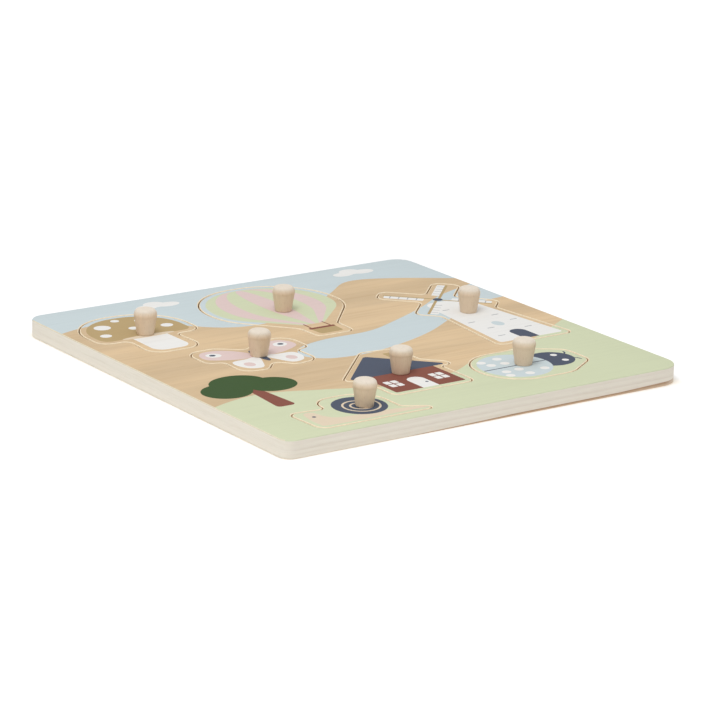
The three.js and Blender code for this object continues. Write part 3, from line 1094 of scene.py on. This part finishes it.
class KNOBPUZZLE_OT_screws(bpy.types.Operator):
    """Countersunk screws that hold the pegs, with a cross recess in the head"""

    bl_idname = "knobpuzzle.screws"
    bl_label = "Screws"

    recess_taper = 0.25

    def cross(self, middle, width, length):
        """Outline of a cross, anticlockwise."""
        across, along = width / 2, length / 2
        quarter = [Vector((along, -across)), Vector((along, across)), Vector((across, across))]
        turns = [Matrix.Rotation(pi / 2 * quarter_turn, 2) for quarter_turn in range(4)]
        return [tuple(middle + turn @ spot) for turn in turns for spot in quarter]

    def execute(self, context):
        sizes = context.scene.knob_puzzle_sizes
        for piece in PIECES:
            middle, head, foot, point = screw_place(piece)
            shank = sizes.shank / 2
            draft = Draft()
            rim = draft.ring(circle(middle, head, sizes.screw_sides), foot)
            slot = draft.ring(self.cross(middle, sizes.drive_width, sizes.drive_length), foot)
            _, slot_loop = draft.cap([rim, slot], "zinc", faces_up=False)
            inward = sizes.drive_width * self.recess_taper
            floor = draft.ring(offset(draft.flat(slot_loop), inward), foot + sizes.drive_depth)
            draft.strip(floor, slot_loop, "zinc")
            draft.cap([floor], "zinc", faces_up=False)
            lower = rim
            neck = foot + sizes.head_rim
            for radius, height in ((head, neck), (shank, neck + head - shank), (shank, point - sizes.tip)):
                upper = draft.ring(circle(middle, radius, sizes.screw_sides), height)
                draft.strip(upper, lower, "zinc")
                lower = upper
            draft.point(lower, (*middle, point), "zinc", True)
            dress(draft.build(f"{piece}_fastener"), f"{piece}_screw", piece)
        return {"FINISHED"}


# Stage

# The floor's glow is tinted warm below the tray, a painted bounce of light off the wood; the tint fades out
# across the tray's edge, by distances from that edge
BOUNCE_TINT_FADE = (-0.002, 0.003)
# The floor's glow grows to so many times its strength between distances in halves of the board's side
GLOW_FADE = (1.3, 10)
FAR_GLOW = 5
FLOOR_WHITE = linear(243, 243, 243)


def floor_finish(glow, warmth):
    """White floor that keeps shadows. Its glow lifts it to white, strong far off; below the tray and just
    past its edge the glow is warm, painted bounce light off the wood.
    """
    material = bpy.data.materials.new("white_floor")
    material.use_nodes = True
    tree = material.node_tree
    tree.nodes.clear()
    sides = add(tree, "ShaderNodeVectorMath", {0: own_place(tree)}, operation="ABSOLUTE").outputs["Vector"]
    spot = axes(tree, sides)
    reach = calculate(tree, "MAXIMUM", spot["X"], spot["Y"])
    edge = BOARD_HIGH.x
    # Painted warm bounce light on the floor at and under the tray's edge
    outside = span(tree, reach, 0, 1, *(edge + distance for distance in BOUNCE_TINT_FADE))
    tint = ramp(tree, outside, [(0, warmth), (1, WHITE)])
    lift = span(tree, reach, glow, FAR_GLOW * glow, *(edge * distance for distance in GLOW_FADE))
    matt = add(tree, "ShaderNodeBsdfDiffuse", {"Color": (*FLOOR_WHITE, 1)}).outputs["BSDF"]
    light = add(tree, "ShaderNodeEmission", {"Color": tint, "Strength": lift}).outputs["Emission"]
    both = add(tree, "ShaderNodeAddShader", {0: matt, 1: light}).outputs["Shader"]
    add(tree, "ShaderNodeOutputMaterial", {"Surface": both})
    return material


def seen_directly(tree, seen, otherwise):
    """One value for rays from the camera, reflections and glass, and another for light that spreads."""
    path = add(tree, "ShaderNodeLightPath").outputs
    mirrored = calculate(tree, "MAXIMUM", path["Is Camera Ray"], path["Is Glossy Ray"])
    direct = calculate(tree, "MAXIMUM", mirrored, path["Is Transmission Ray"])
    return span(tree, direct, otherwise, seen)


class KNOBPUZZLE_OT_stage(bpy.types.Operator):
    """White floor, soft light and the camera"""

    bl_idname = "knobpuzzle.stage"
    bl_label = "Stage"

    floor_half = 12

    def execute(self, context):
        scene = context.scene
        stage = scene.knob_puzzle_stage
        scene.view_settings.view_transform = "Standard"
        self.add_floor(scene, stage)
        self.add_world(scene, stage)
        self.add_key(scene, stage)
        self.add_camera(scene, stage)
        return {"FINISHED"}

    def add_floor(self, scene, stage):
        half = self.floor_half
        level = cad_box[0][2] - stage.floor_drop
        corners = [(-half, -half, level), (half, -half, level), (half, half, level), (-half, half, level)]
        mesh = bpy.data.meshes.new("floor")
        mesh.from_pydata(corners, [], [(0, 1, 2, 3)])
        mesh.materials.append(floor_finish(stage.floor_glow, tuple(stage.floor_bounce_tint)))
        floor = bpy.data.objects.new("floor", mesh)
        scene.collection.objects.link(floor)

    def add_world(self, scene, stage):
        world = bpy.data.worlds.new("white_surroundings")
        world.use_nodes = True
        tree = world.node_tree
        background = tree.nodes["Background"]
        background.inputs["Color"].default_value = (*WHITE, 1)
        way = add(tree, "ShaderNodeTexCoord").outputs["Generated"]
        soft = span(tree, axes(tree, way)["Z"], stage.horizon, stage.overhead)
        tree.links.new(seen_directly(tree, 1, soft), background.inputs["Strength"])
        scene.world = world

    def add_key(self, scene, stage):
        lamp = bpy.data.lights.new("key", "AREA")
        lamp.energy = stage.key_power
        lamp.size = stage.key_size
        key = bpy.data.objects.new("key", lamp)
        key.location = stage.key_from
        key.rotation_euler = Vector(stage.key_from).to_track_quat("Z", "Y").to_euler()
        scene.collection.objects.link(key)

    def add_camera(self, scene, stage):
        data = bpy.data.cameras.new("camera")
        data.lens = stage.lens
        camera = bpy.data.objects.new("camera", data)
        turn = (
            Matrix.Rotation(stage.azimuth, 4, "Z")
            @ Matrix.Rotation(pi / 2 - stage.elevation, 4, "X")
            @ Matrix.Rotation(stage.roll, 4, "Z")
        )
        camera.matrix_world = turn @ Matrix.Translation((*stage.aim, stage.distance))
        scene.collection.objects.link(camera)
        scene.camera = camera


class KNOBPUZZLE_PT_sidebar(bpy.types.Panel):
    """Lists the steps that dress the puzzle, and their settings"""

    bl_idname = "KNOBPUZZLE_PT_sidebar"
    bl_label = "Knob Puzzle"
    bl_space_type = "VIEW_3D"
    bl_region_type = "UI"
    bl_category = "Knob Puzzle"

    def draw(self, context):
        for operator in OPERATORS:
            self.layout.operator(operator.bl_idname)
        for name in SETTINGS:
            settings = getattr(context.scene, name)
            box = self.layout.box()
            for key in settings.__annotations__:
                box.prop(settings, key)


SETTINGS = {
    "knob_puzzle_inks": KnobPuzzleInks,
    "knob_puzzle_timber": KnobPuzzleTimber,
    "knob_puzzle_sizes": KnobPuzzleSizes,
    "knob_puzzle_stage": KnobPuzzleStage,
}
OPERATORS = (
    KNOBPUZZLE_OT_stage,
    KNOBPUZZLE_OT_backing_board,
    KNOBPUZZLE_OT_face_panel,
    KNOBPUZZLE_OT_picture_pieces,
    KNOBPUZZLE_OT_pegs,
    KNOBPUZZLE_OT_screws,
)


def register():
    for name, group in SETTINGS.items():
        bpy.utils.register_class(group)
        setattr(bpy.types.Scene, name, PointerProperty(type=group))
    for kind in (*OPERATORS, KNOBPUZZLE_PT_sidebar):
        bpy.utils.register_class(kind)


def unregister():
    for kind in (KNOBPUZZLE_PT_sidebar, *reversed(OPERATORS)):
        bpy.utils.unregister_class(kind)
    for name, group in reversed(SETTINGS.items()):
        delattr(bpy.types.Scene, name)
        bpy.utils.unregister_class(group)


def main():
    register()
    bpy.ops.knobpuzzle.stage()
    bpy.ops.knobpuzzle.backing_board()
    bpy.ops.knobpuzzle.face_panel()
    bpy.ops.knobpuzzle.picture_pieces()
    bpy.ops.knobpuzzle.pegs()
    bpy.ops.knobpuzzle.screws()


if __name__ == "__main__":
    main()
